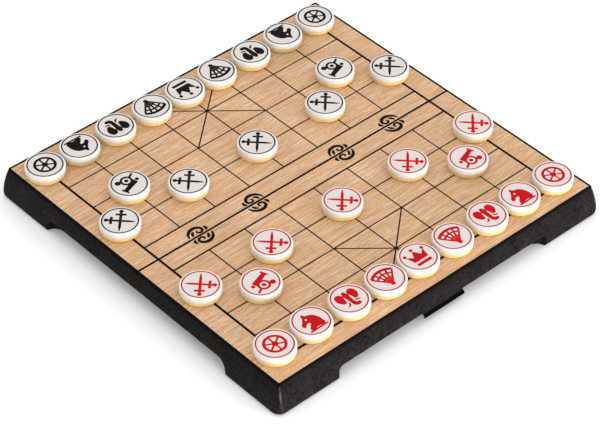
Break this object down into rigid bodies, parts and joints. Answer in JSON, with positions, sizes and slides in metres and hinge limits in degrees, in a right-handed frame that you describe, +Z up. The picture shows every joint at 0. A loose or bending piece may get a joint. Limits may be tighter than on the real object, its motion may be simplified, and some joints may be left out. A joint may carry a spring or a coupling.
{
  "type": "folding magnetic chinese chess set",
  "caption": "Folding case of two hinged half shells with printed playing faces, a swinging clasp and magnetic discs set out for play.",
  "frame": {"origin": "on the table, under the middle of the river where the case folds", "axes": "+X along the river, +Y from the red side with the clasp to the black side, +Z up out of the playing face"},
  "size_m": [0.2534, 0.2494, 0.0266],
  "materials": {
    "case_plastic": "moulded black plastic with a fine leather grain",
    "clasp_plastic": "smooth black plastic",
    "link_plastic": "smooth black plastic, satin",
    "panel_print": "printed sheet, light wood grain with black grid lines, satin",
    "steel": "plain bright steel",
    "disc_plastic": "white cap over an amber base, smooth"
  },
  "bodies": {
    "red_half": {"red_shell": "case_plastic", "red_panel": "panel_print", "red_steel_sheet": "steel", "red_hinge_pins": "steel", "clasp_pin": "steel"},
    "links": {"hinge_links": "link_plastic"},
    "black_half": {"black_shell": "case_plastic", "black_panel": "panel_print", "black_steel_sheet": "steel", "black_hinge_pins": "steel"},
    "clasp_flap": {"clasp": "clasp_plastic"},
    "disc_red_chariot_file1": {"red_chariot_file1": "disc_plastic"},
    "disc_red_horse_file2": {"red_horse_file2": "disc_plastic"},
    "disc_red_elephant_file3": {"red_elephant_file3": "disc_plastic"},
    "disc_red_advisor_file4": {"red_advisor_file4": "disc_plastic"},
    "disc_red_general_file5": {"red_general_file5": "disc_plastic"},
    "disc_red_advisor_file6": {"red_advisor_file6": "disc_plastic"},
    "disc_red_elephant_file7": {"red_elephant_file7": "disc_plastic"},
    "disc_red_horse_file8": {"red_horse_file8": "disc_plastic"},
    "disc_red_chariot_file9": {"red_chariot_file9": "disc_plastic"},
    "disc_red_cannon_file2": {"red_cannon_file2": "disc_plastic"},
    "disc_red_cannon_file8": {"red_cannon_file8": "disc_plastic"},
    "disc_red_soldier_file1": {"red_soldier_file1": "disc_plastic"},
    "disc_red_soldier_file3": {"red_soldier_file3": "disc_plastic"},
    "disc_red_soldier_file5": {"red_soldier_file5": "disc_plastic"},
    "disc_red_soldier_file7": {"red_soldier_file7": "disc_plastic"},
    "disc_red_soldier_file9": {"red_soldier_file9": "disc_plastic"},
    "disc_black_chariot_file1": {"black_chariot_file1": "disc_plastic"},
    "disc_black_horse_file2": {"black_horse_file2": "disc_plastic"},
    "disc_black_elephant_file3": {"black_elephant_file3": "disc_plastic"},
    "disc_black_advisor_file4": {"black_advisor_file4": "disc_plastic"},
    "disc_black_general_file5": {"black_general_file5": "disc_plastic"},
    "disc_black_advisor_file6": {"black_advisor_file6": "disc_plastic"},
    "disc_black_elephant_file7": {"black_elephant_file7": "disc_plastic"},
    "disc_black_horse_file8": {"black_horse_file8": "disc_plastic"},
    "disc_black_chariot_file9": {"black_chariot_file9": "disc_plastic"},
    "disc_black_cannon_file2": {"black_cannon_file2": "disc_plastic"},
    "disc_black_cannon_file8": {"black_cannon_file8": "disc_plastic"},
    "disc_black_soldier_file1": {"black_soldier_file1": "disc_plastic"},
    "disc_black_soldier_file3": {"black_soldier_file3": "disc_plastic"},
    "disc_black_soldier_file5": {"black_soldier_file5": "disc_plastic"},
    "disc_black_soldier_file7": {"black_soldier_file7": "disc_plastic"},
    "disc_black_soldier_file9": {"black_soldier_file9": "disc_plastic"}
  },
  "joints": [
    {"name": "fold_black_half", "type": "hinge", "parent": "links", "child": "black_half", "pos_m": [0, 0.0031, 0.003], "axis": [-1, 0, 0], "range_deg": [0, 90]},
    {"name": "fold_links", "type": "hinge", "parent": "red_half", "child": "links", "pos_m": [0, -0.0031, 0.003], "axis": [-1, 0, 0], "range_deg": [0, 90]},
    {"name": "clasp_swing", "type": "hinge", "parent": "red_half", "child": "clasp_flap", "pos_m": [0, -0.11209, 0.0086], "axis": [1, 0, 0], "range_deg": [-5, 65.5]},
    {"name": "lift_red_chariot_file1", "type": "slide", "parent": "red_half", "child": "disc_red_chariot_file1", "axis": [0, 0, 1], "range_m": [0, 0.03]},
    {"name": "lift_red_horse_file2", "type": "slide", "parent": "red_half", "child": "disc_red_horse_file2", "axis": [0, 0, 1], "range_m": [0, 0.03]},
    {"name": "lift_red_elephant_file3", "type": "slide", "parent": "red_half", "child": "disc_red_elephant_file3", "axis": [0, 0, 1], "range_m": [0, 0.03]},
    {"name": "lift_red_advisor_file4", "type": "slide", "parent": "red_half", "child": "disc_red_advisor_file4", "axis": [0, 0, 1], "range_m": [0, 0.03]},
    {"name": "lift_red_general_file5", "type": "slide", "parent": "red_half", "child": "disc_red_general_file5", "axis": [0, 0, 1], "range_m": [0, 0.03]},
    {"name": "lift_red_advisor_file6", "type": "slide", "parent": "red_half", "child": "disc_red_advisor_file6", "axis": [0, 0, 1], "range_m": [0, 0.03]},
    {"name": "lift_red_elephant_file7", "type": "slide", "parent": "red_half", "child": "disc_red_elephant_file7", "axis": [0, 0, 1], "range_m": [0, 0.03]},
    {"name": "lift_red_horse_file8", "type": "slide", "parent": "red_half", "child": "disc_red_horse_file8", "axis": [0, 0, 1], "range_m": [0, 0.03]},
    {"name": "lift_red_chariot_file9", "type": "slide", "parent": "red_half", "child": "disc_red_chariot_file9", "axis": [0, 0, 1], "range_m": [0, 0.03]},
    {"name": "lift_red_cannon_file2", "type": "slide", "parent": "red_half", "child": "disc_red_cannon_file2", "axis": [0, 0, 1], "range_m": [0, 0.03]},
    {"name": "lift_red_cannon_file8", "type": "slide", "parent": "red_half", "child": "disc_red_cannon_file8", "axis": [0, 0, 1], "range_m": [0, 0.03]},
    {"name": "lift_red_soldier_file1", "type": "slide", "parent": "red_half", "child": "disc_red_soldier_file1", "axis": [0, 0, 1], "range_m": [0, 0.03]},
    {"name": "lift_red_soldier_file3", "type": "slide", "parent": "red_half", "child": "disc_red_soldier_file3", "axis": [0, 0, 1], "range_m": [0, 0.03]},
    {"name": "lift_red_soldier_file5", "type": "slide", "parent": "red_half", "child": "disc_red_soldier_file5", "axis": [0, 0, 1], "range_m": [0, 0.03]},
    {"name": "lift_red_soldier_file7", "type": "slide", "parent": "red_half", "child": "disc_red_soldier_file7", "axis": [0, 0, 1], "range_m": [0, 0.03]},
    {"name": "lift_red_soldier_file9", "type": "slide", "parent": "red_half", "child": "disc_red_soldier_file9", "axis": [0, 0, 1], "range_m": [0, 0.03]},
    {"name": "lift_black_chariot_file1", "type": "slide", "parent": "black_half", "child": "disc_black_chariot_file1", "axis": [0, 0, 1], "range_m": [0, 0.03]},
    {"name": "lift_black_horse_file2", "type": "slide", "parent": "black_half", "child": "disc_black_horse_file2", "axis": [0, 0, 1], "range_m": [0, 0.03]},
    {"name": "lift_black_elephant_file3", "type": "slide", "parent": "black_half", "child": "disc_black_elephant_file3", "axis": [0, 0, 1], "range_m": [0, 0.03]},
    {"name": "lift_black_advisor_file4", "type": "slide", "parent": "black_half", "child": "disc_black_advisor_file4", "axis": [0, 0, 1], "range_m": [0, 0.03]},
    {"name": "lift_black_general_file5", "type": "slide", "parent": "black_half", "child": "disc_black_general_file5", "axis": [0, 0, 1], "range_m": [0, 0.03]},
    {"name": "lift_black_advisor_file6", "type": "slide", "parent": "black_half", "child": "disc_black_advisor_file6", "axis": [0, 0, 1], "range_m": [0, 0.03]},
    {"name": "lift_black_elephant_file7", "type": "slide", "parent": "black_half", "child": "disc_black_elephant_file7", "axis": [0, 0, 1], "range_m": [0, 0.03]},
    {"name": "lift_black_horse_file8", "type": "slide", "parent": "black_half", "child": "disc_black_horse_file8", "axis": [0, 0, 1], "range_m": [0, 0.03]},
    {"name": "lift_black_chariot_file9", "type": "slide", "parent": "black_half", "child": "disc_black_chariot_file9", "axis": [0, 0, 1], "range_m": [0, 0.03]},
    {"name": "lift_black_cannon_file2", "type": "slide", "parent": "black_half", "child": "disc_black_cannon_file2", "axis": [0, 0, 1], "range_m": [0, 0.03]},
    {"name": "lift_black_cannon_file8", "type": "slide", "parent": "black_half", "child": "disc_black_cannon_file8", "axis": [0, 0, 1], "range_m": [0, 0.03]},
    {"name": "lift_black_soldier_file1", "type": "slide", "parent": "black_half", "child": "disc_black_soldier_file1", "axis": [0, 0, 1], "range_m": [0, 0.03]},
    {"name": "lift_black_soldier_file3", "type": "slide", "parent": "black_half", "child": "disc_black_soldier_file3", "axis": [0, 0, 1], "range_m": [0, 0.03]},
    {"name": "lift_black_soldier_file5", "type": "slide", "parent": "black_half", "child": "disc_black_soldier_file5", "axis": [0, 0, 1], "range_m": [0, 0.03]},
    {"name": "lift_black_soldier_file7", "type": "slide", "parent": "black_half", "child": "disc_black_soldier_file7", "axis": [0, 0, 1], "range_m": [0, 0.03]},
    {"name": "lift_black_soldier_file9", "type": "slide", "parent": "black_half", "child": "disc_black_soldier_file9", "axis": [0, 0, 1], "range_m": [0, 0.03]}
  ],
  "couplings": [
    {"joint": "fold_links", "follows": "fold_black_half", "ratio": 1}
  ]
}
